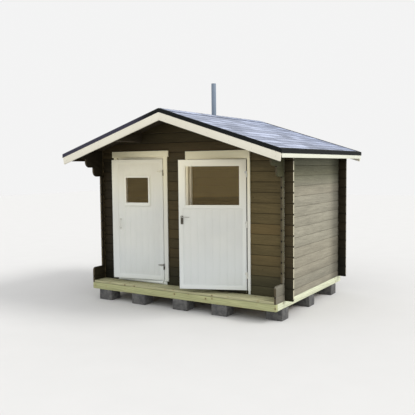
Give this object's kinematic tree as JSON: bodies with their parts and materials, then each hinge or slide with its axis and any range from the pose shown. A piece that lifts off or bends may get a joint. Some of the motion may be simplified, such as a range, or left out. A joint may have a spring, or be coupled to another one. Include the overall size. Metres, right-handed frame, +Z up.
{
  "type": "garden tool shed",
  "caption": "Small gabled log shed with crossing corner logs, a front deck under a deep roof overhang, and two outward-opening doors.",
  "frame": {"origin": "on the ground under the middle of the roof's outline", "axes": "+X along the front wall to the right, +Y from the front towards the back, +Z up"},
  "size_m": [3.445, 2.913, 3.27],
  "materials": {
    "concrete": "matte",
    "treated_timber": "matte",
    "floor_pine": "matte",
    "stained_logs": "satin",
    "roof_timber": "matte",
    "asphalt_shingle": "matte",
    "cream_paint": "satin",
    "white_paint": "satin",
    "black_flashing": "satin",
    "grey_pipe": "satin",
    "window_glass": "gloss",
    "zinc_steel": "satin",
    "dull_steel": "satin"
  },
  "bodies": {
    "shed": {"foundation_blocks": "concrete", "front_beam": "treated_timber", "side_sills": "treated_timber", "rear_sill": "treated_timber", "floor_joists": "treated_timber", "deck_boards": "treated_timber", "floor_boards": "floor_pine", "front_wall_left": "stained_logs", "front_wall_middle": "stained_logs", "front_wall_right": "stained_logs", "front_gable": "stained_logs", "rear_wall": "stained_logs", "rear_gable": "stained_logs", "left_wall": "stained_logs", "right_wall": "stained_logs", "ridge_beam": "roof_timber", "purlins": "roof_timber", "roof_boards_left": "roof_timber", "roof_boards_right": "roof_timber", "shingles_left": "asphalt_shingle", "shingles_right": "asphalt_shingle", "ridge_cap": "asphalt_shingle", "front_bargeboards": "cream_paint", "rear_bargeboards": "cream_paint", "eave_fascias": "cream_paint", "front_verge_flashing": "black_flashing", "rear_verge_flashing": "black_flashing", "eave_flashings": "black_flashing", "vent_pipe": "grey_pipe", "vent_boot": "grey_pipe", "left_door_frame": "white_paint", "left_door_casing": "cream_paint", "left_door_threshold": "white_paint", "left_door_hinge_pins": "zinc_steel", "right_door_frame": "white_paint", "right_door_casing": "cream_paint", "right_door_threshold": "stained_logs", "right_door_hinge_pins": "zinc_steel"},
    "left_door": {"left_leaf_frame": "white_paint", "left_leaf_panel": "white_paint", "left_leaf_bead": "white_paint", "left_leaf_glass": "window_glass", "left_leaf_pull": "dull_steel", "left_leaf_hinges": "zinc_steel"},
    "right_door": {"right_leaf_frame": "white_paint", "right_leaf_panel": "white_paint", "right_leaf_bead": "white_paint", "right_leaf_glass": "window_glass", "right_leaf_handle": "dull_steel", "right_leaf_hinges": "zinc_steel"}
  },
  "joints": [
    {"name": "left_door_hinge", "type": "hinge", "parent": "shed", "child": "left_door", "pos_m": [-0.3505, -0.9065, 0.329], "axis": [0, 0, 1], "range_deg": [-10.2, 99.8]},
    {"name": "right_door_hinge", "type": "hinge", "parent": "shed", "child": "right_door", "pos_m": [0.97575, -0.9065, 0.324], "axis": [0, 0, 1], "range_deg": [-21.9, 88.1]}
  ]
}
